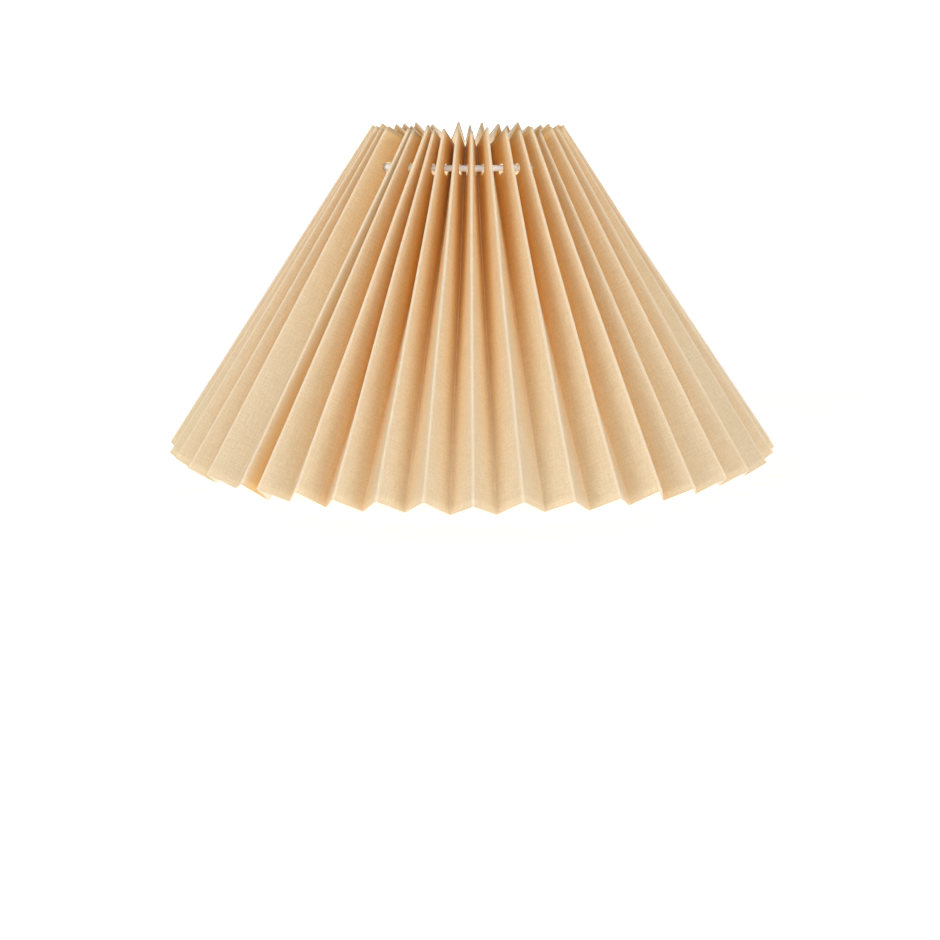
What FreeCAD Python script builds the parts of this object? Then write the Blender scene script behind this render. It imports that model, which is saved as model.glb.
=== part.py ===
import FreeCAD, Part
import math
import os

import Sketcher

# Pleated conical lamp shade on a wire carrier.
# Millimetres. +Z is up and the front of the shade faces -Y. The origin is the centre of the
# fitter ring's bore on the ring's underside, where the shade seats on a lampholder.
# An azimuth is counted from the front towards +X.

Vector = FreeCAD.Vector

ARMS = ("arm_left", "arm_right", "arm_back")
PLEATS_BETWEEN_ARMS = (14, 15, 15)  # left to right arm, right to back arm, back to left arm
PLEATS = sum(PLEATS_BETWEEN_ARMS)
NARROW_GROOVE = 1  # squeezed from top to rim, beside the left arm
SEAM_RIDGE = 22  # at the right of the back, where the grooves are wide enough for a doubled face

# Relative widths of the grooves at the top edge, from an arm's ridge on. They are gathered by hand, so
# each arm pushes one groove wide open and squeezes the next one.
GATHER = (2.2, 0.35, 1.1, 0.45, 0.7, 0.9, 0.95, 1.05, 1.3, 1.05, 0.95, 0.75, 1.35, 0.95, 0.9)

# The pleats ride up and down in a wave that doesn't repeat: its radians at the first ridge and from
# each ridge to the next.
SETTLE_START, SETTLE_STEP = 0.6, 2.4

SAME_SIZE = 0.01  # two lengths nearer than this are one size

DIMENSIONS = (
    ("rim_radius", 150, "ridges at the bottom edge"),
    ("neck_radius", 46.2, "ridges at the top edge"),
    ("cone_height", 155.4, "bottom edge to top edge at the ridges"),
    ("top_level", 140, "ridge tops above the fitter ring's underside"),
    ("face_width", 15.6, "each flat face of the strip from fold to fold"),
    ("settle", 0.9, "how far single pleats ride up or down"),
    ("rim_unevenness", 0.2, "share of the top edge's unevenness that reaches the rim"),
    ("rim_squeeze", 0.5, "relative width of the squeezed groove at the rim"),
    ("rim_shift", 2, "how far the rim hangs to the right of the hoop's centre"),
    ("rim_turn", 0.5, "degrees from the left arm on to the foot of its ridge"),
    ("cloth_thick", 0.25, "woven cloth"),
    ("film_thick", 0.3, "white backing film"),
    ("glue_thick", 0.04, "bond between two sheets"),
    ("tape_thick", 0.1, "double-sided tape in the seam"),
    ("tape_width", 6.5, "across the seam face"),
    ("tape_end_gap", 3, "tape to the top and bottom edges"),
    ("seam_start_gap", 4.2, "inner end of the strip to the seam ridge"),
    ("seam_end_gap", 3.6, "outer end of the strip to the valley beside it"),
    ("hoop_radius", 48.2, "centre line of the hoop"),
    ("hoop_drop", 18, "hoop below the ridge tops"),
    ("hoop_wire_radius", 1.5, "3 mm wire"),
    ("hoop_gap_angle", 1, "degrees between the two wire ends"),
    ("hole_radius", 2.7, "punched hole in every face"),
    ("hole_drop", 0.6, "hole centres below the hoop, which carries their upper edges"),
    ("splice_azimuth", 176, "where the hoop's ends meet"),
    ("sleeve_angle", 9.4, "degrees of the hoop inside the crimped sleeve"),
    ("sleeve_radius", 1.8, "outside of the sleeve, which also passes through the holes"),
    ("sleeve_bore_radius", 1.53, "inside of the sleeve"),
    ("arm_wire_radius", 1, "2 mm wire"),
    ("arm_azimuth", -54.5, "left arm"),
    ("arm_spacing", 120, "degrees from arm to arm"),
    ("arm_offset", 0.9, "degrees from a ridge to the arm in the channel behind it"),
    ("arm_foot_radius", 23, "inner end of a foot"),
    ("arm_bend_radius", 4, "both bends of an arm"),
    ("arm_rise_radius", 28.5, "where the foot's line meets the rising stretch"),
    ("arm_top_radius", 42.7, "where the rising stretch meets the hook's line"),
    ("arm_rest_gap", 0.15, "hoop to the hook that it rests in"),
    ("arm_tip_rise", 1.5, "hook tip above the hoop's centre"),
    ("weld_depth", 0.15, "how far a foot is sunk into the ring by its weld"),
    ("ring_bore_radius", 21, "42 mm fitter bore"),
    ("ring_outer_radius", 28, "fitter ring"),
    ("ring_thick", 1.6, "fitter ring"),
    ("ring_edge", 0.4, "rounding of the ring's outer edges"),
)


def make_sheet(doc):
    sheet = doc.addObject("Spreadsheet::Sheet", "Dimensions")
    for row, (alias, value, note) in enumerate(DIMENSIONS, start=1):
        sheet.set(f"A{row}", alias)
        sheet.set(f"B{row}", str(value))
        sheet.set(f"C{row}", note)
        sheet.setAlias(f"B{row}", alias)
    doc.recompute()
    return sheet


def bind(obj, **expressions):
    """Ties properties of an object to cells of the sheet. A double underscore stands for a dot."""
    for name, expression in expressions.items():
        obj.setExpression(name.replace("__", "."), expression)


# ---- folds of the pleated strip ----


def turned(start, weights, turn):
    """Azimuths from start on that share out a turn by weight, without the last one."""
    azimuths = []
    for weight in weights:
        azimuths.append(start)
        start += turn * weight / sum(weights)
    return azimuths


def rim_azimuths(sheet):
    """Azimuth of every ridge at the rim, in degrees. The rim hangs free, so its grooves are nearly even."""
    weights = [1 + sheet.rim_unevenness * (w - 1) for count in PLEATS_BETWEEN_ARMS for w in GATHER[:count]]
    weights[NARROW_GROOVE] = sheet.rim_squeeze
    return turned(sheet.arm_azimuth + sheet.rim_turn, weights, 360)


def top_azimuths(sheet):
    """Azimuth of every ridge at the top edge, in degrees.

    The first ridge of each sector is where it passes its arm, just behind the ridge, at the hoop's level.
    """
    rim = rim_azimuths(sheet)
    drop = sheet.hoop_drop / sheet.cone_height
    reach = sheet.rim_radius * drop + sheet.neck_radius * (1 - drop)
    lean = sheet.rim_radius * drop / reach
    starts, first = [], 0
    for number, count in enumerate(PLEATS_BETWEEN_ARMS):
        at_hoop = sheet.arm_azimuth + number * sheet.arm_spacing - sheet.arm_offset
        at_hoop -= math.degrees(sheet.rim_shift * drop * math.cos(math.radians(at_hoop)) / reach)
        starts.append((at_hoop - lean * rim[first]) / (1 - lean))
        first += count
    starts.append(starts[0] + 360)
    azimuths = []
    for start, following, count in zip(starts, starts[1:], PLEATS_BETWEEN_ARMS):
        azimuths += turned(start, GATHER[:count], following - start)
    return azimuths


def valley_inset(radius, slope, half, width):
    """How far inside its two ridges a valley lies, for faces of this width cut square to their folds."""
    spread = math.tan(half) ** 2
    stretch = 1 + slope**2 + spread
    root = (radius * spread) ** 2 - stretch * (radius**2 * spread - width**2)
    return (radius * spread + math.sqrt(root)) / stretch


def polar(radius, azimuth, level):
    return Vector(radius * math.sin(azimuth), -radius * math.cos(azimuth), level)


def fold_ends(sheet, at_top):
    """The top or bottom end of every fold: ridge, valley, ridge and so on, round the cone."""
    radius = sheet.neck_radius if at_top else sheet.rim_radius
    level = sheet.top_level if at_top else sheet.top_level - sheet.cone_height
    shift = Vector(0 if at_top else sheet.rim_shift, 0, 0)
    slope = (sheet.rim_radius - sheet.neck_radius) / sheet.cone_height
    degrees = top_azimuths(sheet) if at_top else rim_azimuths(sheet)
    azimuths = [math.radians(azimuth) for azimuth in degrees + [degrees[0] + 360]]
    waves = [SETTLE_START + SETTLE_STEP * (ridge % PLEATS) for ridge in range(PLEATS + 1)]
    lifts = [sheet.settle * math.sin(wave) for wave in waves]
    ends = []
    for ridge in range(PLEATS):
        half = (azimuths[ridge + 1] - azimuths[ridge]) / 2
        inset = valley_inset(radius, slope, half, sheet.face_width)
        valley_lift = (lifts[ridge] + lifts[ridge + 1]) / 2
        valley_radius = (radius - inset) / math.cos(half)
        valley_level = level - inset * slope + valley_lift
        ends.append(shift + polar(radius, azimuths[ridge], level + lifts[ridge]))
        ends.append(shift + polar(valley_radius, azimuths[ridge] + half, valley_level))
    return ends


def strip_lines(sheet):
    """Every fold of the strip as (bottom, top), from its inner end, round the cone, to its outer end.

    The last face lies on the first. The inner end is sunk behind the seam's ridge and the outer end is
    lifted off the valley by the thickness of one layer with its tape, so the two stay parallel.
    """
    bottoms, tops = fold_ends(sheet, False), fold_ends(sheet, True)
    folds = list(zip(bottoms, tops))
    folds = folds[2 * SEAM_RIDGE :] + folds[: 2 * SEAM_RIDGE]
    ridge, valley = folds[0], folds[1]
    layer = sheet.cloth_thick + sheet.film_thick + sheet.tape_thick + 2 * sheet.glue_thick
    upright = (ridge[1] - ridge[0]).normalize()
    inner_end, outer_end = [], []
    for ridge_end, valley_end in zip(ridge, valley):
        across = (valley_end - ridge_end).normalize()
        out = across.cross(upright).normalize() * layer
        inner_end.append(ridge_end - out + across * sheet.seam_start_gap)
        outer_end.append(valley_end + out - across * sheet.seam_end_gap)
    return [tuple(inner_end)] + folds[1:] + [ridge, tuple(outer_end)]


# ---- sheets that follow the folds ----


def square_to(vector, axis):
    return (vector - axis * vector.dot(axis)).normalize()


def offset_end(before, here, after, along, depth, nose):
    """Where a surface parallel to the strip meets the end of one fold: one point, or two round a nose.

    depth counts outwards. A surface on the outside of a fold's corner gets a narrow flat nose if asked.
    """
    ways = [square_to(here - before, along)] if before else []
    ways += [square_to(after - here, along)] if after else []
    sides = [way.cross(along) for way in ways]
    if len(ways) == 1:
        return [here + sides[0] * depth]
    into_corner = (ways[1] - ways[0]).normalize()
    sine = math.sqrt((1 + ways[0].dot(ways[1])) / 2)
    facing = 1 if into_corner.dot(sides[0]) > 0 else -1
    if nose and facing * depth < 0:
        return [here + side * depth for side in sides]
    return [here + into_corner * (facing * depth / sine)]


def offset_lines(lines, depth, nose):
    """For each fold, the one or two (bottom, top) lines of a surface parallel to the strip."""
    befores, afters = [None] + lines[:-1], lines[1:] + [None]
    result = []
    for before, here, after in zip(befores, lines, afters):
        along = (here[1] - here[0]).normalize()
        ends = [
            offset_end(before and before[k], here[k], after and after[k], along, depth, nose) for k in (0, 1)
        ]
        result.append(list(zip(*ends)))
    return result


def ruled(first, second):
    return Part.makeRuledSurface(Part.makeLine(*first), Part.makeLine(*second))


def triangle(a, b, c):
    return Part.Face(Part.makePolygon([a, b, c, a]))


def nose_faces(pair, opposite):
    """A fold's flat nose and its two small end caps."""
    caps = [triangle(pair[0][k], pair[1][k], opposite[k]) for k in (0, 1)]
    return [ruled(*pair)] + caps


def sheet_solid(lines, inner_depth, outer_depth, nose_from):
    """A closed solid between two surfaces parallel to the strip. Those deeper than nose_from have noses."""
    outer = offset_lines(lines, outer_depth, abs(outer_depth) > nose_from)
    inner = offset_lines(lines, inner_depth, abs(inner_depth) > nose_from)
    faces = [ruled(outer[j][j], inner[j][j]) for j in (0, -1)]
    for out_group, in_group in zip(outer, inner):
        if len(out_group) == 2:
            faces += nose_faces(out_group, in_group[0])
        if len(in_group) == 2:
            faces += nose_faces(in_group, out_group[0])
    for j in range(len(lines) - 1):
        out_pair = (outer[j][-1], outer[j + 1][0])
        in_pair = (inner[j][-1], inner[j + 1][0])
        faces += [ruled(*out_pair), ruled(*in_pair)]
        for k in (0, 1):
            faces.append(ruled([line[k] for line in out_pair], [line[k] for line in in_pair]))
    shell = Part.makeShell(faces)
    shell.sewShape()
    solid = Part.Solid(shell)
    if solid.Volume < 0:
        solid.reverse()
    return solid


def make_hole_tool(doc):
    """A ring of the holes' section round the whole cone, which cuts a round hole in every face it meets."""
    tool = doc.addObject("Part::Torus", "hole_ring")
    bind(
        tool,
        Radius1="Dimensions.hoop_radius",
        Radius2="Dimensions.hole_radius",
        Placement__Base__z="Dimensions.top_level - Dimensions.hoop_drop - Dimensions.hole_drop",
    )
    return tool


def make_sheet_part(doc, label, solid, tool):
    """One sheet of the shade, with the holes that the hoop runs through."""
    blank = doc.addObject("Part::Feature", label + "_blank")
    blank.Shape = solid
    punched = doc.addObject("Part::Cut", label)
    punched.Base = blank
    punched.Tool = tool
    punched.Label = label
    return punched


def make_fabric_cover(doc, sheet, lines, tool):
    low = sheet.glue_thick / 2
    solid = sheet_solid(lines, low, low + sheet.cloth_thick, sheet.glue_thick)
    return make_sheet_part(doc, "fabric_cover", solid, tool)


def make_liner(doc, sheet, lines, tool):
    low = -sheet.glue_thick / 2
    solid = sheet_solid(lines, low - sheet.film_thick, low, sheet.glue_thick)
    return make_sheet_part(doc, "liner", solid, tool)


def make_seam_tape(doc, sheet, lines, tool):
    """The tape halfway between the strip's first face and its last one, short of every edge."""
    inner_end, valley = lines[0], lines[1]
    ridge, outer_end = lines[-2], lines[-1]
    edges = []
    for side in (-1, 1):
        ends = []
        for k in (0, 1):
            middle = (inner_end[k] + outer_end[k]) / 2
            across = (valley[k] - inner_end[k]).normalize()
            ends.append(middle + across * side * sheet.tape_width / 2)
        upright = (ends[1] - ends[0]).normalize() * sheet.tape_end_gap
        edges.append((ends[0] + upright, ends[1] - upright))
    shift = (sheet.film_thick - sheet.cloth_thick) / 2
    solid = sheet_solid(edges, -shift - sheet.tape_thick / 2, -shift + sheet.tape_thick / 2, 0)
    return make_sheet_part(doc, "seam_tape", solid, tool)


# ---- hoop ----


def make_ring_stretch(doc, name, section, start, sweep):
    """A stretch of a torus at the hoop's level. start and sweep are expressions in degrees."""
    stretch = doc.addObject("Part::Torus", name)
    bind(
        stretch,
        Radius1="Dimensions.hoop_radius",
        Radius2=section,
        Angle3=sweep,
        Placement__Base__z="Dimensions.top_level - Dimensions.hoop_drop",
        Placement__Rotation__Angle=start,
    )
    return stretch


def make_hoop(doc):
    """The hoop runs once round, from one side of its splice to the other."""
    start = "Dimensions.splice_azimuth - 90 + Dimensions.hoop_gap_angle / 2"
    sweep = "360 - Dimensions.hoop_gap_angle"
    return make_ring_stretch(doc, "hoop", "Dimensions.hoop_wire_radius", start, sweep)


def make_hoop_sleeve(doc):
    start = "Dimensions.splice_azimuth - 90 - Dimensions.sleeve_angle / 2"
    sweep = "Dimensions.sleeve_angle"
    sleeve = doc.addObject("Part::Cut", "hoop_sleeve")
    sleeve.Base = make_ring_stretch(doc, "sleeve_wall", "Dimensions.sleeve_radius", start, sweep)
    sleeve.Tool = make_ring_stretch(doc, "sleeve_bore", "Dimensions.sleeve_bore_radius", start, sweep)
    return sleeve


# ---- carrier ----


def plane_of(body, role):
    return next(f for f in body.Origin.OriginFeatures if f.Role == role)


def add_sketch(body, name, role):
    sketch = body.newObject("Sketcher::SketchObject", name)
    sketch.AttachmentSupport = (plane_of(body, role), [""])
    sketch.MapMode = "FlatFace"
    return sketch


def add_size(sketch, name, expression, *constraint):
    """A named dimension that follows the sheet."""
    index = sketch.addConstraint(Sketcher.Constraint(*constraint))
    sketch.renameConstraint(index, name)
    sketch.setExpression("Constraints." + name, expression)


def make_fitter_ring(doc, sheet):
    """A flat stamped washer whose bore drops over the lampholder's thread."""
    body = doc.addObject("PartDesign::Body", "fitter_ring")
    body.Label = "fitter_ring"
    profile = add_sketch(body, "ring_profile", "XZ_Plane")
    inner, outer, top = sheet.ring_bore_radius, sheet.ring_outer_radius, sheet.ring_thick
    corners = [Vector(inner, 0), Vector(outer, 0), Vector(outer, top), Vector(inner, top)]
    for a, b in zip(corners, corners[1:] + corners[:1]):
        profile.addGeometry(Part.LineSegment(a, b), False)
    for side in range(4):
        profile.addConstraint(Sketcher.Constraint("Coincident", side, 2, (side + 1) % 4, 1))
        profile.addConstraint(Sketcher.Constraint("Horizontal" if side % 2 == 0 else "Vertical", side))
    profile.addConstraint(Sketcher.Constraint("PointOnObject", 0, 1, -1))
    add_size(profile, "bore", "Dimensions.ring_bore_radius", "DistanceX", -1, 1, 0, 1, inner)
    add_size(profile, "outside", "Dimensions.ring_outer_radius", "DistanceX", -1, 1, 0, 2, outer)
    add_size(profile, "thick", "Dimensions.ring_thick", "DistanceY", 1, 1, 1, 2, top)
    blank = body.newObject("PartDesign::Revolution", "ring_turned")
    blank.Profile = profile
    blank.ReferenceAxis = (profile, ["V_Axis"])
    blank.Angle = 360
    doc.recompute()
    rims = [
        f"Edge{i}"
        for i, edge in enumerate(blank.Shape.Edges, start=1)
        if hasattr(edge.Curve, "Radius") and abs(edge.Curve.Radius - outer) < SAME_SIZE
    ]
    rounded = body.newObject("PartDesign::Fillet", "ring_rounded")
    rounded.Base = (blank, rims)
    rounded.setExpression("Radius", "Dimensions.ring_edge")
    body.Tip = rounded
    return body


def bend(corner, before, after, radius):
    """The arc that rounds a corner between two straight stretches: its start, middle and end."""
    ways = [(before - corner).normalize(), (after - corner).normalize()]
    half = ways[0].getAngle(ways[1]) / 2
    middle_way = (ways[0] + ways[1]).normalize()
    reach = radius / math.tan(half)
    nearest = radius / math.sin(half) - radius
    return corner + ways[0] * reach, corner + middle_way * nearest, corner + ways[1] * reach


def arm_path_geometry(sheet):
    """An arm's centre line: foot, bend, rising stretch, bend, a level stretch and the upturned hook."""
    foot_level = sheet.ring_thick + sheet.arm_wire_radius - sheet.weld_depth
    hoop_level = sheet.top_level - sheet.hoop_drop
    hook_radius = sheet.hoop_wire_radius + sheet.arm_rest_gap + sheet.arm_wire_radius
    under = hoop_level - hook_radius
    foot = Vector(sheet.arm_foot_radius, foot_level)
    heel = Vector(sheet.arm_rise_radius, foot_level)
    neck = Vector(sheet.arm_top_radius, under)
    below_hoop = Vector(sheet.hoop_radius, under)
    lower = bend(heel, foot, neck, sheet.arm_bend_radius)
    upper = bend(neck, heel, below_hoop, sheet.arm_bend_radius)
    quarter = Vector(math.sqrt(0.5), -math.sqrt(0.5)) * hook_radius
    hoop_centre = Vector(sheet.hoop_radius, hoop_level)
    beside_hoop = hoop_centre + Vector(hook_radius, 0)
    return [
        Part.LineSegment(foot, lower[0]),
        Part.Arc(*lower),
        Part.LineSegment(lower[2], upper[0]),
        Part.Arc(*upper),
        Part.LineSegment(upper[2], below_hoop),
        Part.Arc(below_hoop, hoop_centre + quarter, beside_hoop),
        Part.LineSegment(beside_hoop, beside_hoop + Vector(0, sheet.arm_tip_rise)),
    ]


def make_arm(doc, sheet, label, number):
    """A wire arm, bent in its own XZ plane and turned to its azimuth."""
    body = doc.addObject("PartDesign::Body", label)
    body.Label = label
    path = add_sketch(body, label + "_path", "XZ_Plane")
    geometry = arm_path_geometry(sheet)
    for piece in geometry:
        path.addGeometry(piece, False)
    for piece in range(len(geometry)):
        path.addConstraint(Sketcher.Constraint("Block", piece))
    section = add_sketch(body, label + "_section", "YZ_Plane")
    level = sheet.ring_thick + sheet.arm_wire_radius - sheet.weld_depth
    section.addGeometry(Part.Circle(Vector(0, level), Vector(0, 0, 1), sheet.arm_wire_radius), False)
    section.addConstraint(Sketcher.Constraint("PointOnObject", 0, 3, -2))
    add_size(section, "wire", "Dimensions.arm_wire_radius", "Radius", 0, sheet.arm_wire_radius)
    resting = "Dimensions.ring_thick + Dimensions.arm_wire_radius - Dimensions.weld_depth"
    add_size(section, "level", resting, "DistanceY", -1, 1, 0, 3, level)
    section.setExpression("AttachmentOffset.Base.z", "Dimensions.arm_foot_radius")
    doc.recompute()
    wire = body.newObject("PartDesign::AdditivePipe", label + "_wire")
    wire.Profile = section
    wire.Spine = (path, [f"Edge{i}" for i in range(1, len(geometry) + 1)])
    wire.Mode = "Standard"
    body.Tip = wire
    turn = f"Dimensions.arm_azimuth + {number} * Dimensions.arm_spacing - 90"
    body.setExpression("Placement.Rotation.Angle", turn)
    return body


# ---- the whole shade ----


def build():
    doc = FreeCAD.newDocument("pleated_shade")
    sheet = make_sheet(doc)
    lines = strip_lines(sheet)
    tool = make_hole_tool(doc)
    parts = [
        make_fabric_cover(doc, sheet, lines, tool),
        make_liner(doc, sheet, lines, tool),
        make_seam_tape(doc, sheet, lines, tool),
        make_hoop(doc),
        make_hoop_sleeve(doc),
        make_fitter_ring(doc, sheet),
    ]
    parts += [make_arm(doc, sheet, label, number) for number, label in enumerate(ARMS)]
    doc.recompute()
    return doc, parts


def check(doc, parts):
    for obj in doc.Objects:
        if "Invalid" in obj.State or "Error" in obj.State:
            raise RuntimeError(f"{obj.Label} did not recompute: {obj.State}")
    for part in parts:
        if part.Shape.isNull() or not part.Shape.isValid() or len(part.Shape.Solids) != 1:
            raise RuntimeError(f"{part.Label} is not one valid solid")
        print(f"{part.Label}: {part.Shape.Volume:.1f} mm3")


def main():
    doc, parts = build()
    check(doc, parts)
    os.makedirs("parts", exist_ok=True)
    for part in parts:
        part.Shape.exportStep(f"parts/{part.Label}.step")


main()
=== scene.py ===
import math

import bpy
from mathutils import Matrix, Vector, noise


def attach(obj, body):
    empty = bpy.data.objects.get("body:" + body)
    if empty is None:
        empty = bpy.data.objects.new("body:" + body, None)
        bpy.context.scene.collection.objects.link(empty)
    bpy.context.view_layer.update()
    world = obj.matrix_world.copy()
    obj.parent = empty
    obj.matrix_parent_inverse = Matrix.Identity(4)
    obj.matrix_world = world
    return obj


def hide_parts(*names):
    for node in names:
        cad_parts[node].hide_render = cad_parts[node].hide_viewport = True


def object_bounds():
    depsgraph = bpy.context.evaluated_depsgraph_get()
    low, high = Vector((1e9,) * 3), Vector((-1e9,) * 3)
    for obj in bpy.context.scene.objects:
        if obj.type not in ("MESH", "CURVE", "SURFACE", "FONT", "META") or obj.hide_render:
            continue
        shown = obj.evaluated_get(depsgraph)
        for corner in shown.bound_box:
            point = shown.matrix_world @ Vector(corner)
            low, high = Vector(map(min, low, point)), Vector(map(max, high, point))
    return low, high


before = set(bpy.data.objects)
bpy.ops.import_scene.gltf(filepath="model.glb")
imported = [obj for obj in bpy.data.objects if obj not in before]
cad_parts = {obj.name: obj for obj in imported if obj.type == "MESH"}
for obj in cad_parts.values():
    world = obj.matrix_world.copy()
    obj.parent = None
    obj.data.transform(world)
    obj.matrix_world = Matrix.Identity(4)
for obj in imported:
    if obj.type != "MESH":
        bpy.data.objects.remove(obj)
cad_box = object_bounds()
MM = 0.001

# A pleated lamp shade: its cloth and its film are rebuilt here as smooth creased sheets, and the wire hoop
# and its carrier are the CAD nodes with their finishes.

# ---- the pleated strip, as the CAD model sets it out, in millimetres and degrees ----

PLEATS_BETWEEN_ARMS = (14, 15, 15)
PLEATS = sum(PLEATS_BETWEEN_ARMS)
NARROW_GROOVE = 1
SEAM_RIDGE = 22
GATHER = (2.2, 0.35, 1.1, 0.45, 0.7, 0.9, 0.95, 1.05, 1.3, 1.05, 0.95, 0.75, 1.35, 0.95, 0.9)
SETTLE_START, SETTLE_STEP = 0.6, 2.4
RIM_RADIUS, NECK_RADIUS, CONE_HEIGHT, TOP_LEVEL = 150, 46.2, 155.4, 140
FACE_WIDTH, SETTLE, UNEVENNESS, SQUEEZE, RIM_SHIFT, RIM_TURN = 15.6, 0.9, 0.2, 0.5, 2, 0.5
CLOTH, FILM, GLUE, TAPE = 0.25, 0.3, 0.04, 0.1
SEAM_START_GAP, SEAM_END_GAP = 4.2, 3.6
ARM_AZIMUTH, ARM_SPACING, ARM_OFFSET = -54.5, 120, 0.9
HOOP_RADIUS, HOOP_DROP, HOLE_RADIUS, HOLE_DROP = 48.2, 18, 2.7, 0.6
HOLE_LEVEL = TOP_LEVEL - HOOP_DROP - HOLE_DROP

PINCHED_VALLEY = (2 * NARROW_GROOVE + 1 - 2 * SEAM_RIDGE) % (2 * PLEATS)  # counted along the strip
FOLD_RADIUS = 0.34  # of the crease, at the bond between cloth and film
FOLD_STRAY = 0.55  # how far a fold strays sideways between its ends
FACE_BOW, FACE_SWELL, FACE_RIPPLE = 0.08, 0.45, 0.1  # how far a face stands off flat
FACE_STEPS = (0.045, 0.12, 0.2, 0.28, 0.365, 0.45, 0.535, 0.62, 0.705, 0.79, 0.87, 0.94)
HOLE_COLUMNS = (3, 9)  # the steps of a face beside its hole
FOLD_STEPS = 6
FOLD_LENGTH = 186.4  # from the bottom edge to the top edge
# How much painted shade the cloth gets towards its valleys, less in open grooves and more towards the top
# edge, and how fast painted light fills the pinched groove.
DEPTH_SHADE, OPEN_SHADE, TOP_SHADE, PINCHED_LIGHT_RATE = 1.57, 2.1, 0.3, 3
ROWS_BELOW, ROWS_BESIDE, ROWS_ABOVE = 40, 8, 4
HOLE_ROWS = (0.872, 0.942)  # shares of the height below and above the holes
HOLE_GUESS = (0.5, 0.91)  # across and up a face
HOLE_MISS = 0.2  # the most that a hole's centre may be off the hoop's circle
HOLE_LIMITS = ((0.2, 0.8), (0.86, 0.95))
HOLE_RINGS = (0.5, 0.85, 1.0)  # rings of the net round a hole, as shares of the way to its edge


def turned(start, weights, turn):
    azimuths = []
    for weight in weights:
        azimuths.append(start)
        start += turn * weight / sum(weights)
    return azimuths


def rim_azimuths():
    weights = [1 + UNEVENNESS * (w - 1) for count in PLEATS_BETWEEN_ARMS for w in GATHER[:count]]
    weights[NARROW_GROOVE] = SQUEEZE
    return turned(ARM_AZIMUTH + RIM_TURN, weights, 360)


def top_azimuths():
    rim = rim_azimuths()
    drop = HOOP_DROP / CONE_HEIGHT
    reach = RIM_RADIUS * drop + NECK_RADIUS * (1 - drop)
    lean = RIM_RADIUS * drop / reach
    starts, first = [], 0
    for number, count in enumerate(PLEATS_BETWEEN_ARMS):
        at_hoop = ARM_AZIMUTH + number * ARM_SPACING - ARM_OFFSET
        at_hoop -= math.degrees(RIM_SHIFT * drop * math.cos(math.radians(at_hoop)) / reach)
        starts.append((at_hoop - lean * rim[first]) / (1 - lean))
        first += count
    starts.append(starts[0] + 360)
    azimuths = []
    for start, following, count in zip(starts, starts[1:], PLEATS_BETWEEN_ARMS):
        azimuths += turned(start, GATHER[:count], following - start)
    return azimuths


def valley_inset(radius, slope, half):
    spread = math.tan(half) ** 2
    stretch = 1 + slope**2 + spread
    root = (radius * spread) ** 2 - stretch * (radius**2 * spread - FACE_WIDTH**2)
    return (radius * spread + math.sqrt(root)) / stretch


def polar(radius, azimuth, level):
    return Vector((radius * math.sin(azimuth), -radius * math.cos(azimuth), level))


def fold_ends(at_top):
    radius = NECK_RADIUS if at_top else RIM_RADIUS
    level = TOP_LEVEL if at_top else TOP_LEVEL - CONE_HEIGHT
    shift = Vector((0 if at_top else RIM_SHIFT, 0, 0))
    slope = (RIM_RADIUS - NECK_RADIUS) / CONE_HEIGHT
    degrees = top_azimuths() if at_top else rim_azimuths()
    azimuths = [math.radians(azimuth) for azimuth in degrees + [degrees[0] + 360]]
    waves = [SETTLE_START + SETTLE_STEP * (ridge % PLEATS) for ridge in range(PLEATS + 1)]
    lifts = [SETTLE * math.sin(wave) for wave in waves]
    ends = []
    for ridge in range(PLEATS):
        half = (azimuths[ridge + 1] - azimuths[ridge]) / 2
        inset = valley_inset(radius, slope, half)
        valley_radius = (radius - inset) / math.cos(half)
        valley_level = level - inset * slope + (lifts[ridge] + lifts[ridge + 1]) / 2
        ends.append(shift + polar(radius, azimuths[ridge], level + lifts[ridge]))
        ends.append(shift + polar(valley_radius, azimuths[ridge] + half, valley_level))
    return ends


def strip_lines():
    """Every fold as (bottom, top), from the strip's inner end round the cone to its outer end."""
    folds = list(zip(fold_ends(False), fold_ends(True)))
    folds = folds[2 * SEAM_RIDGE :] + folds[: 2 * SEAM_RIDGE]
    ridge, valley = folds[0], folds[1]
    layer = CLOTH + FILM + TAPE + 2 * GLUE
    upright = (ridge[1] - ridge[0]).normalized()
    inner_end, outer_end = [], []
    for ridge_end, valley_end in zip(ridge, valley):
        across = (valley_end - ridge_end).normalized()
        out = across.cross(upright).normalized() * layer
        inner_end.append(ridge_end - out + across * SEAM_START_GAP)
        outer_end.append(valley_end + out - across * SEAM_END_GAP)
    return [tuple(inner_end)] + folds[1:] + [ridge, tuple(outer_end)]


# ---- one smooth surface over the strip: rounded folds, bowed faces and punched holes ----


def square_to(vector, axis):
    return (vector - axis * vector.dot(axis)).normalized()


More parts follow.
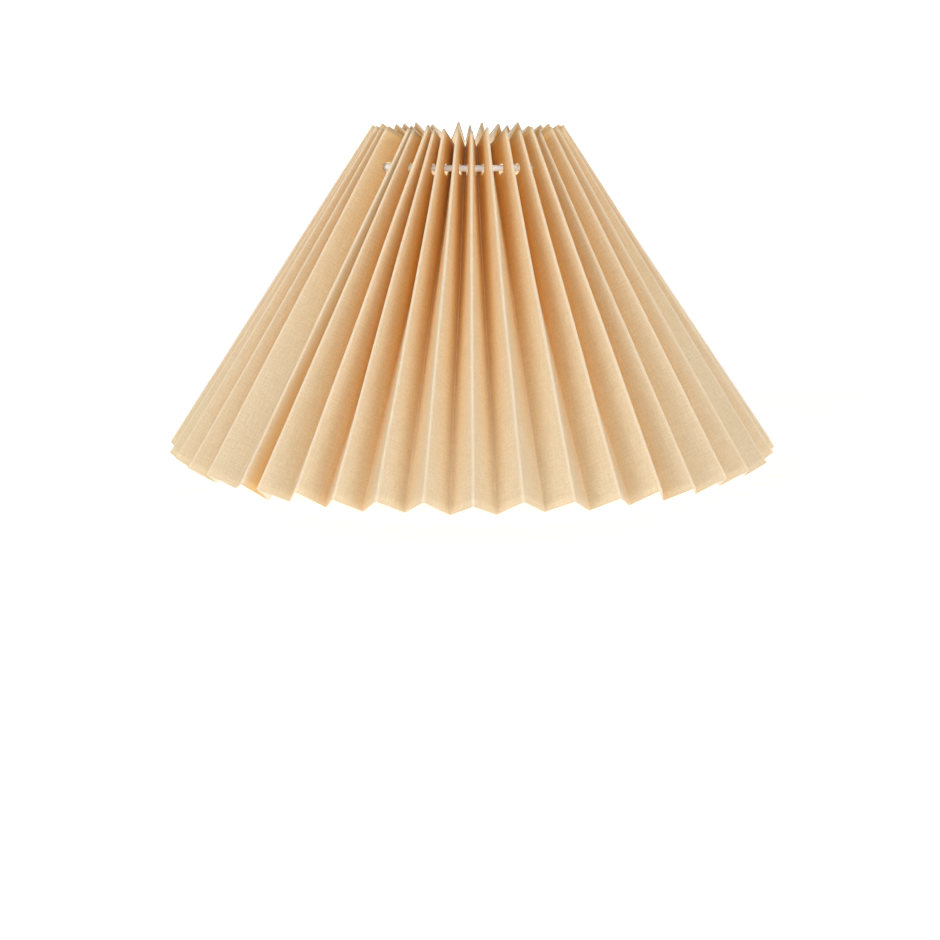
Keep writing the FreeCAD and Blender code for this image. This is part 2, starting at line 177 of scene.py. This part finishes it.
class Strip:
    """Places of the bond between cloth and film, with the way out of the shade, for any fold or face."""

    def __init__(self, lines):
        self.lines = lines
        self.count = len(lines)
        self.cache = {}

    def fold_at(self, j, t):
        bottom, top = self.lines[j]
        here = bottom.lerp(top, t)
        if 0 < j < self.count - 1:
            level = noise.noise(Vector((j * 3.7, t * 2.6, 1.5)))
            side = self.lines[j + 1][0] - self.lines[j - 1][0]
            here = here + side.normalized() * FOLD_STRAY * level * math.sin(math.pi * t)
        return here

    def row(self, t):
        """Every fold's crease: its centre, the first and last normal of its arc, its axis, turn and side."""
        if t in self.cache:
            return self.cache[t]
        places = [self.fold_at(j, t) for j in range(self.count)]
        tilt = math.asin(2 * FOLD_RADIUS / FACE_WIDTH)
        rows = []
        for j, here in enumerate(places):
            along = (self.lines[j][1] - self.lines[j][0]).normalized()
            before = square_to(here - places[j - 1], along) if j else None
            after = square_to(places[j + 1] - here, along) if j < self.count - 1 else None
            if not (before and after):
                out = (before or after).cross(along)
                rows.append((here, out, out, along, 0, 1))
                continue
            apex = (before - after).normalized()
            side = 1 if apex.dot(before.cross(along)) > 0 else -1
            axis = along * side
            first = Matrix.Rotation(-tilt, 3, axis) @ before.cross(along) * side
            last = Matrix.Rotation(tilt, 3, axis) @ after.cross(along) * side
            turn = first.angle(last)
            if first.cross(last).dot(axis) < 0:
                turn = 2 * math.pi - turn
            rows.append((here - apex * FOLD_RADIUS, first, last, axis, turn, side))
        self.cache[t] = rows
        return rows

    def on_fold(self, j, share, t):
        centre, first, last, axis, turn, side = self.row(t)[j]
        if turn == 0:
            return centre, first
        if share == 0:
            way = first
        elif share == 1:
            way = last
        else:
            way = Matrix.Rotation(turn * share, 3, axis) @ first
        return centre + way * FOLD_RADIUS, way * side

    def on_face(self, f, s, t):
        """A place on face f, s of the way from fold f to fold f + 1."""
        start, start_out = self.on_fold(f, 1, t)
        end, end_out = self.on_fold(f + 1, 0, t)
        out = start_out.lerp(end_out, s).normalized()
        hump = math.sin(math.pi * s)
        swell = noise.noise(Vector((f * 5.3, t * 2.2, 7.5))) * FACE_SWELL
        ripple = noise.noise(Vector((f * 9.1 + s * 1.3, t * 9.0, 3.5))) * FACE_RIPPLE
        bow = hump * math.sin(math.pi * min(1, max(0, t))) * (FACE_BOW + swell) + hump * ripple
        return start.lerp(end, s) + out * bow, out


def off_circle(place):
    return math.hypot(math.hypot(place.x, place.y) - HOOP_RADIUS, place.z - HOLE_LEVEL)


def hole_centre(strip, f):
    """(s, t) where the hoop's hole is centred on face f, by Newton's method in two unknowns."""
    s, t = HOLE_GUESS
    step = 1e-3
    for _ in range(12):
        values = []
        for ds, dt in ((0, 0), (step, 0), (0, step)):
            place, _ = strip.on_face(f, s + ds, t + dt)
            values.append((math.hypot(place.x, place.y) - HOOP_RADIUS, place.z - HOLE_LEVEL))
        out, up = values[0]
        out_s, up_s = ((values[1][k] - values[0][k]) / step for k in (0, 1))
        out_t, up_t = ((values[2][k] - values[0][k]) / step for k in (0, 1))
        determinant = out_s * up_t - out_t * up_s
        if abs(determinant) < 1e-9:
            break
        s -= (up_t * out - out_t * up) / determinant
        t -= (out_s * up - up_s * out) / determinant
        s, t = (min(high, max(low, value)) for value, (low, high) in zip((s, t), HOLE_LIMITS))
    return s, t


def hole_edge(strip, f, centre, target):
    """(s, t) on the way from the hole's centre to target where the hole's edge is."""
    low, high = 0.0, 1.0
    for _ in range(14):
        middle = (low + high) / 2
        place, _ = strip.on_face(f, *(c + (g - c) * middle for c, g in zip(centre, target)))
        if off_circle(place) < HOLE_RADIUS:
            low = middle
        else:
            high = middle
    return tuple(c + (g - c) * high for c, g in zip(centre, target))


def row_levels():
    low, high = HOLE_ROWS
    rows = [low * k / ROWS_BELOW for k in range(ROWS_BELOW)]
    rows += [low + (high - low) * k / ROWS_BESIDE for k in range(ROWS_BESIDE)]
    return rows + [high + (1 - high) * k / ROWS_ABOVE for k in range(ROWS_ABOVE + 1)]


class Net:
    """A net of quads over the strip, each point kept as (kind, index, share, t)."""

    def __init__(self, strip):
        self.strip = strip
        self.points = []
        self.quads = []
        self.rows = row_levels()
        self.columns = [("fold", 0, 0.0)]
        for f in range(strip.count - 1):
            self.columns += [("face", f, s) for s in FACE_STEPS]
            if f < strip.count - 2:
                self.columns += [("fold", f + 1, k / FOLD_STEPS) for k in range(FOLD_STEPS + 1)]
        self.columns.append(("fold", strip.count - 1, 0.0))
        self.grid = {}
        self.fill()

    def point(self, kind, index, share, t):
        self.points.append((kind, index, share, t))
        return len(self.points) - 1

    def at(self, c, r):
        if (c, r) not in self.grid:
            self.grid[c, r] = self.point(*self.columns[c], self.rows[r])
        return self.grid[c, r]

    def fill(self):
        first_row, last_row = ROWS_BELOW, ROWS_BELOW + ROWS_BESIDE
        skipped = set()
        for c, (kind, f, s) in enumerate(self.columns):
            if kind == "face" and s == FACE_STEPS[HOLE_COLUMNS[0]] and self.punch(c, f):
                for k in range(HOLE_COLUMNS[1] - HOLE_COLUMNS[0]):
                    skipped.update((c + k, r) for r in range(first_row, last_row))
        for c in range(len(self.columns) - 1):
            for r in range(len(self.rows) - 1):
                if (c, r) not in skipped:
                    self.quads.append(
                        (self.at(c, r), self.at(c + 1, r), self.at(c + 1, r + 1), self.at(c, r + 1))
                    )

    def punch(self, c, f):
        """Fills the block of the grid round a hole with rings, and leaves the hole open."""
        c_end = c + HOLE_COLUMNS[1] - HOLE_COLUMNS[0]
        r, r_end = ROWS_BELOW, ROWS_BELOW + ROWS_BESIDE
        centre = hole_centre(self.strip, f)
        place, _ = self.strip.on_face(f, *centre)
        if off_circle(place) > HOLE_MISS:
            return False
        around = [(k, r) for k in range(c, c_end)] + [(c_end, k) for k in range(r, r_end)]
        around += [(k, r_end) for k in range(c_end, c, -1)] + [(c, k) for k in range(r_end, r, -1)]
        rings = [[self.at(*key) for key in around]]
        edge = []
        for key in around:
            target = (self.columns[key[0]][2], self.rows[key[1]])
            edge.append((target, hole_edge(self.strip, f, centre, target)))
        for share in HOLE_RINGS:
            ring = []
            for target, rim in edge:
                s, t = (g + (h - g) * share for g, h in zip(target, rim))
                ring.append(self.point("face", f, s, t))
            rings.append(ring)
        for outer, inner in zip(rings, rings[1:]):
            for k in range(len(around)):
                n = (k + 1) % len(around)
                self.quads.append((outer[k], outer[n], inner[n], inner[k]))
        return True


def painted_shade_and_light_at(strip, index, depth, t):
    """How much painted shade a place gets: a deeper, more orange tan painted on the cloth.

    It is least at the ridges and the rim, and grows towards the valleys, the more so the narrower the
    groove, and towards the top edge. Inside the pinched groove it is negative, and there it marks painted
    light: a saturated tan in place of the shade that the narrow groove gets.
    """
    valley = index | 1
    if valley == PINCHED_VALLEY:
        return -min(1, PINCHED_LIGHT_RATE * depth)
    at_seam = valley in (1, strip.count - 1)
    before, after = (-2, 2) if at_seam else (valley - 1, valley + 1)
    ridge, next_ridge = (strip.lines[j][0].lerp(strip.lines[j][1], t) for j in (before, after))
    openness = (next_ridge - ridge).length / (2 * FACE_WIDTH)
    return depth * max(0, DEPTH_SHADE - OPEN_SHADE * openness) + TOP_SHADE * t * t


def laid_out(net):
    """Each point's place, way out, UV in metres along and up the strip, its crease, and its painted shade
    and light.
    """
    made = []
    for kind, index, share, t in net.points:
        if kind == "fold":
            place, out = net.strip.on_fold(index, share, t)
            along = index * FACE_WIDTH + (share - 0.5) * 1.2 * FOLD_RADIUS  # about the crease's own length
            near, depth = 1.0, index % 2
        else:
            place, out = net.strip.on_face(index, share, t)
            along = (index + share) * FACE_WIDTH
            near, depth = 0.0, 1 - share if index % 2 else share
        painted_shade_and_light = painted_shade_and_light_at(net.strip, index, depth, t)
        made.append((place, out, (along * MM, t * FOLD_LENGTH * MM), near, painted_shade_and_light))
    return made


def net_solid(name, net, points, low, high):
    """A closed sheet between two depths from the bond."""
    places = [point[:2] for point in points]
    coords = [point[2] for point in points]
    size = len(places)
    verts = [(place + out * high) * MM for place, out in places]
    verts += [(place + out * low) * MM for place, out in places]
    faces = list(net.quads)
    faces += [tuple(size + v for v in reversed(quad)) for quad in net.quads]
    sides = dict.fromkeys(side for quad in net.quads for side in zip(quad, quad[1:] + quad[:1]))
    faces += [(b, a, size + a, size + b) for a, b in sides if (b, a) not in sides]
    mesh = bpy.data.meshes.new(name)
    mesh.from_pydata(verts, [], faces)
    layer = mesh.uv_layers.new(name="strip")
    edge_start = 2 * len(net.quads)
    for polygon in mesh.polygons:
        for loop in polygon.loop_indices:
            v = mesh.loops[loop].vertex_index
            layer.data[loop].uv = coords[v % size]
    is_edge = [k >= edge_start for k in range(len(mesh.polygons))]
    cut_edge = mesh.attributes.new("cut_edge", "FLOAT", "FACE")
    cut_edge.data.foreach_set("value", [float(flag) for flag in is_edge])
    # The second attribute carries painted shade, and painted light where it is negative.
    for k, label in ((3, "crease"), (4, "painted_shade_and_light")):
        values = mesh.attributes.new(label, "FLOAT", "POINT")
        values.data.foreach_set("value", [point[k] for point in points] * 2)
    mesh.polygons.foreach_set("use_smooth", [not flag for flag in is_edge])
    mesh.update()
    obj = bpy.data.objects.new(name, mesh)
    bpy.context.scene.collection.objects.link(obj)
    return obj


# ---- materials ----


class Nodes:
    """Short names for the nodes of one material."""

    def __init__(self, name):
        self.material = bpy.data.materials.new(name)
        self.material.use_nodes = True
        self.tree = self.material.node_tree
        self.bsdf = self.tree.nodes["Principled BSDF"]

    def node(self, kind, **values):
        made = self.tree.nodes.new(kind)
        for key, value in values.items():
            if hasattr(made, key):
                setattr(made, key, value)
            else:
                made.inputs[key.replace("_", " ")].default_value = value
        return made

    def link(self, output, target):
        self.tree.links.new(output, target)

    def coords(self, kind, scale=(1, 1, 1)):
        source = self.node("ShaderNodeTexCoord").outputs[kind]
        mapping = self.node("ShaderNodeMapping")
        mapping.inputs["Scale"].default_value = scale
        self.link(source, mapping.inputs["Vector"])
        return mapping.outputs["Vector"]

    def noise(self, vector, scale, detail=3.0, roughness=0.55):
        made = self.node("ShaderNodeTexNoise", Scale=scale, Detail=detail, Roughness=roughness)
        self.link(vector, made.inputs["Vector"])
        return made.outputs["Fac"]

    def wave(self, vector, scale, direction):
        made = self.node("ShaderNodeTexWave", bands_direction=direction, Scale=scale)
        made.inputs["Detail Scale"].default_value = 3.0
        self.link(vector, made.inputs["Vector"])
        return made.outputs["Fac"]

    def math(self, operation, a, b):
        made = self.node("ShaderNodeMath", operation=operation)
        for k, value in enumerate((a, b)):
            if isinstance(value, (int, float)):
                made.inputs[k].default_value = value
            else:
                self.link(value, made.inputs[k])
        return made.outputs[0]

    def span(self, value, low, high, to_low, to_high):
        made = self.node("ShaderNodeMapRange")
        for k, number in enumerate((low, high, to_low, to_high), start=1):
            made.inputs[k].default_value = number
        self.link(value, made.inputs[0])
        return made.outputs[0]

    def mix(self, factor, a, b, blend="MIX"):
        made = self.node("ShaderNodeMix", data_type="RGBA", blend_type=blend)
        for socket, value in ((made.inputs[0], factor), (made.inputs[6], a), (made.inputs[7], b)):
            if isinstance(value, bpy.types.NodeSocket):
                self.link(value, socket)
            elif isinstance(value, (int, float)):
                socket.default_value = value
            else:
                socket.default_value = (*value, 1)
        return made.outputs[2]

    def bump(self, height, distance, strength=1.0, before=None):
        made = self.node("ShaderNodeBump", Distance=distance, Strength=strength)
        self.link(height, made.inputs["Height"])
        if before:
            self.link(before, made.inputs["Normal"])
        return made.outputs["Normal"]

    def attribute(self, name):
        return self.node("ShaderNodeAttribute", attribute_name=name).outputs["Fac"]


THREAD_DARK, THREAD_LIGHT = (0.805, 0.645, 0.415), (0.93, 0.785, 0.565)
CLOTH_CLOUD, CLOTH_GRAIN = (0.845, 0.655, 0.42), (0.74, 0.53, 0.31)
# Painted shade multiplied into the grooves, and painted light for the pinched groove.
GROOVE_PAINTED_SHADE, PINCHED_PAINTED_LIGHT = (0.99, 0.655, 0.215), (0.93, 0.63, 0.29)
WORN_CREASE, RAW_EDGE = (0.95, 0.79, 0.59), (0.92, 0.74, 0.53)
# The film itself is white: its cream colours are painted light, standing in for light coming through the
# cloth.
FILM_DARK, FILM_LIGHT = (0.95, 0.84, 0.68), (0.98, 0.90, 0.77)
FILM_CREASE, FILM_EDGE = (0.97, 0.92, 0.84), (0.86, 0.70, 0.50)


def cloth_material():
    """Fine plain-weave cloth with uneven threads, paler along its creases and raw edges.

    It has painted shade, a deeper orange tan, towards its valleys and its top edge, and painted light,
    a saturated tan, in the pinched groove.
    """
    n = Nodes("pleated_cloth")
    metres = n.coords("UV")
    warp = n.wave(metres, 700, "X")
    weft = n.wave(metres, 700, "Y")
    weave = n.math("MULTIPLY", n.math("ADD", warp, weft), 0.5)
    slub_up = n.noise(n.coords("UV", (1500, 140, 1)), 1.0, 2.0)
    slub_across = n.noise(n.coords("UV", (140, 1500, 1)), 1.0, 2.0)
    slub = n.math("MULTIPLY", n.math("ADD", slub_up, slub_across), 0.5)
    cloud = n.noise(metres, 55.0, 4.0, 0.6)
    grain = n.noise(metres, 1100.0, 2.0, 0.7)
    colour = n.mix(n.span(slub, 0.36, 0.64, 0.0, 1.0), THREAD_DARK, THREAD_LIGHT)
    colour = n.mix(n.span(cloud, 0.3, 0.7, 0.0, 0.5), colour, CLOTH_CLOUD)
    colour = n.mix(n.span(grain, 0.4, 0.7, 0.0, 0.45), colour, CLOTH_GRAIN)
    # Painted shade: a deeper orange tan multiplied in towards the valleys and the top edge.
    painted_shade_mask = n.span(n.attribute("painted_shade_and_light"), 0.05, 0.8, 0.0, 1.0)
    colour = n.mix(painted_shade_mask, colour, GROOVE_PAINTED_SHADE, "MULTIPLY")
    # Painted light: the pinched groove gets a saturated tan in place of its shade.
    colour = n.mix(n.span(n.attribute("painted_shade_and_light"), -1.0, 0.0, 1.0, 0.0), colour, PINCHED_PAINTED_LIGHT)
    worn = n.math("MULTIPLY", n.attribute("crease"), n.span(grain, 0.2, 0.8, 0.45, 0.85))
    colour = n.mix(worn, colour, WORN_CREASE)
    colour = n.mix(n.math("MULTIPLY", n.attribute("cut_edge"), 0.6), colour, RAW_EDGE)
    n.link(colour, n.bsdf.inputs["Base Color"])
    n.link(n.span(slub, 0.3, 0.7, 0.82, 0.95), n.bsdf.inputs["Roughness"])
    n.bsdf.inputs["Specular IOR Level"].default_value = 0.2
    n.bsdf.inputs["Sheen Weight"].default_value = 0.1
    n.bsdf.inputs["Sheen Roughness"].default_value = 0.5
    n.bsdf.inputs["Sheen Tint"].default_value = (1.0, 0.88, 0.7, 1)
    normal = n.bump(weave, 0.00005, 0.6)
    normal = n.bump(slub, 0.0001, 0.5, normal)
    n.link(normal, n.bsdf.inputs["Normal"])
    return n.material


def film_material():
    """Smooth white backing film with a faint orange-peel, painted cream all over as painted light for the
    warm light that comes through the cloth.
    """
    n = Nodes("backing_film")
    metres = n.coords("UV")
    cloud = n.noise(metres, 45.0, 4.0)
    peel = n.noise(metres, 420.0, 2.0)
    colour = n.mix(n.span(cloud, 0.3, 0.7, 0.0, 1.0), FILM_DARK, FILM_LIGHT)
    colour = n.mix(n.math("MULTIPLY", n.attribute("crease"), 0.5), colour, FILM_CREASE)
    colour = n.mix(n.math("MULTIPLY", n.attribute("cut_edge"), 0.9), colour, FILM_EDGE)
    n.link(colour, n.bsdf.inputs["Base Color"])
    n.link(n.span(cloud, 0.3, 0.7, 0.38, 0.55), n.bsdf.inputs["Roughness"])
    n.bsdf.inputs["Specular IOR Level"].default_value = 0.4
    n.link(n.bump(peel, 0.00005, 0.6), n.bsdf.inputs["Normal"])
    return n.material


def coat_material(name, light, dark, roughness):
    """White powder coat with its fine orange-peel and a little dust."""
    n = Nodes(name)
    place = n.coords("Object")
    peel = n.noise(place, 1400.0, 3.0)
    dust = n.noise(place, 120.0, 5.0, 0.65)
    colour = n.mix(n.span(dust, 0.45, 0.7, 0.0, 0.8), light, dark)
    n.link(colour, n.bsdf.inputs["Base Color"])
    n.link(n.span(dust, 0.3, 0.7, roughness - 0.08, roughness + 0.12), n.bsdf.inputs["Roughness"])
    n.bsdf.inputs["Coat Weight"].default_value = 0.25
    n.bsdf.inputs["Coat Roughness"].default_value = 0.2
    n.link(n.bump(peel, 0.00004, 0.7), n.bsdf.inputs["Normal"])
    return n.material


def zinc_material():
    """Zinc plate with its fine crystals and the scratches of crimping."""
    n = Nodes("zinc_plate")
    place = n.coords("Object")
    crystals = n.node("ShaderNodeTexVoronoi", Scale=900.0)
    n.link(place, crystals.inputs["Vector"])
    scratch = n.noise(n.coords("Object", (400, 400, 4000)), 1.0, 2.0)
    spots = n.noise(place, 500.0, 4.0)
    colour = n.mix(n.span(spots, 0.35, 0.7, 0.0, 1.0), (0.62, 0.62, 0.64), (0.46, 0.46, 0.47))
    n.link(colour, n.bsdf.inputs["Base Color"])
    n.bsdf.inputs["Metallic"].default_value = 1.0
    n.link(n.span(spots, 0.3, 0.7, 0.28, 0.45), n.bsdf.inputs["Roughness"])
    height = n.math("ADD", n.math("MULTIPLY", crystals.outputs["Distance"], 0.4), scratch)
    n.link(n.bump(height, 0.00003, 0.5), n.bsdf.inputs["Normal"])
    return n.material


def tape_material():
    """Milky adhesive film with small bubbles."""
    n = Nodes("seam_adhesive")
    metres = n.coords("Object")
    bubbles = n.noise(metres, 700.0, 3.0)
    colour = n.mix(n.span(bubbles, 0.35, 0.7, 0.0, 1.0), (0.82, 0.79, 0.72), (0.74, 0.70, 0.62))
    n.link(colour, n.bsdf.inputs["Base Color"])
    n.link(n.span(bubbles, 0.3, 0.7, 0.3, 0.5), n.bsdf.inputs["Roughness"])
    n.link(n.bump(bubbles, 0.00004, 0.5), n.bsdf.inputs["Normal"])
    return n.material


def paint(obj, material):
    if obj.material_slots:
        for slot in obj.material_slots:
            slot.material = material
    else:
        obj.data.materials.append(material)


# ---- the object ----


def build_object():
    net = Net(Strip(strip_lines()))
    points = laid_out(net)
    cover = net_solid("cover_cloth", net, points, GLUE / 2, GLUE / 2 + CLOTH)
    liner = net_solid("liner_film", net, points, -GLUE / 2 - FILM, -GLUE / 2)
    paint(cover, cloth_material())
    paint(liner, film_material())
    for piece, node, slot in ((cover, "fabric_cover", "cloth"), (liner, "liner", "film")):
        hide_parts(node)
        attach(piece, "root")
    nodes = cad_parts
    paint(nodes["hoop"], coat_material("hoop_coat", (0.92, 0.94, 0.96), (0.84, 0.85, 0.86), 0.3))
    carrier = coat_material("carrier_coat", (0.88, 0.88, 0.87), (0.78, 0.77, 0.75), 0.36)
    for name in ("arm_left", "arm_right", "arm_back", "fitter_ring"):
        paint(nodes[name], carrier)
    paint(nodes["hoop_sleeve"], zinc_material())
    paint(nodes["seam_tape"], tape_material())


# ---- floor, light and camera, in metres ----

MAT_RADIUS, MAT_CORNERS, MAT_HEIGHT = 0.1, 36, 0.0005
LIGHT_AIM = (0, 0, 0.05)
BULB_PLACE = (0, 0, 0.07)
CAMERA_PLACE = (0.001, -0.9776, 0.1664)
CAMERA_DIP = 11.39  # degrees below level


def stage_plane(name, corners, colour, glow):
    mesh = bpy.data.meshes.new(name)
    mesh.from_pydata(corners, [], [tuple(range(len(corners)))])
    plane = bpy.data.objects.new(name, mesh)
    bpy.context.scene.collection.objects.link(plane)
    n = Nodes(name + "_paint")
    n.bsdf.inputs["Base Color"].default_value = (colour, colour, colour, 1)
    n.bsdf.inputs["Roughness"].default_value = 0.9
    n.bsdf.inputs["Specular IOR Level"].default_value = 0.1
    n.bsdf.inputs["Emission Color"].default_value = (1, 1, 1, 1)
    n.bsdf.inputs["Emission Strength"].default_value = glow
    paint(plane, n.material)


def make_stage():
    """A pale floor and backdrop that glow a little, and a darker mat without glow that hides the floor
    inside the shade: painted shade where the floor lies in the shade's shadow, which also keeps the floor's
    glow off the inside.
    """
    low, reach, back, high = cad_box[0].z, 6.0, 4.0, 5.0
    ground = [(-reach, -reach, low), (reach, -reach, low), (reach, back, low), (-reach, back, low)]
    wall = [(-reach, back, low), (reach, back, low), (reach, back, high), (-reach, back, high)]
    turns = [math.radians(360 / MAT_CORNERS * k) for k in range(MAT_CORNERS)]
    mat = [(MAT_RADIUS * math.cos(turn), MAT_RADIUS * math.sin(turn), low + MAT_HEIGHT) for turn in turns]
    stage_plane("floor", ground, 0.85, 0.55)
    # Painted shade: a darker mat without glow where the floor lies under the lamp shade.
    stage_plane("mat_under_the_shade", mat, 0.45, 0.0)
    stage_plane("backdrop", wall, 0.85, 0.9)


def area_light(name, place, size, power):
    light = bpy.data.lights.new(name, "AREA")
    light.shape = "DISK"
    light.size = size
    light.energy = power
    obj = bpy.data.objects.new(name, light)
    obj.location = place
    obj.rotation_euler = (Vector(LIGHT_AIM) - Vector(place)).to_track_quat("-Z", "Y").to_euler()
    bpy.context.scene.collection.objects.link(obj)


def make_light():
    """Three soft studio lights, and a faint warm glow where the bulb would be."""
    area_light("left", (-1.5, -1.3, 0.6), size=1.2, power=15)
    area_light("right", (1.5, -1.3, 0.55), size=1.2, power=12.5)
    area_light("front", (0.2, -2.2, 0.6), size=1.4, power=10)
    glow = bpy.data.lights.new("bulb_glow", "POINT")
    glow.energy = 0.18
    glow.color = (1.0, 0.84, 0.64)
    glow.shadow_soft_size = 0.015
    bulb = bpy.data.objects.new("bulb_glow", glow)
    bulb.location = BULB_PLACE
    bpy.context.scene.collection.objects.link(bulb)
    world = bpy.data.worlds.new("studio")
    bpy.context.scene.world = world
    world.use_nodes = True
    background = world.node_tree.nodes["Background"]
    background.inputs["Color"].default_value = (1, 1, 1, 1)
    background.inputs["Strength"].default_value = 0.2
    bpy.context.scene.view_settings.view_transform = "Standard"


def make_camera():
    """A little above the ridge tops and looking down, from about a metre away."""
    data = bpy.data.cameras.new("camera")
    data.sensor_width = 36
    data.lens = 75.9
    data.clip_start = 0.05
    data.clip_end = 50
    camera = bpy.data.objects.new("camera", data)
    camera.location = CAMERA_PLACE
    camera.rotation_euler = (math.radians(90 - CAMERA_DIP), 0, 0)
    bpy.context.scene.collection.objects.link(camera)
    bpy.context.scene.camera = camera


make_camera()
build_object()
make_stage()
make_light()
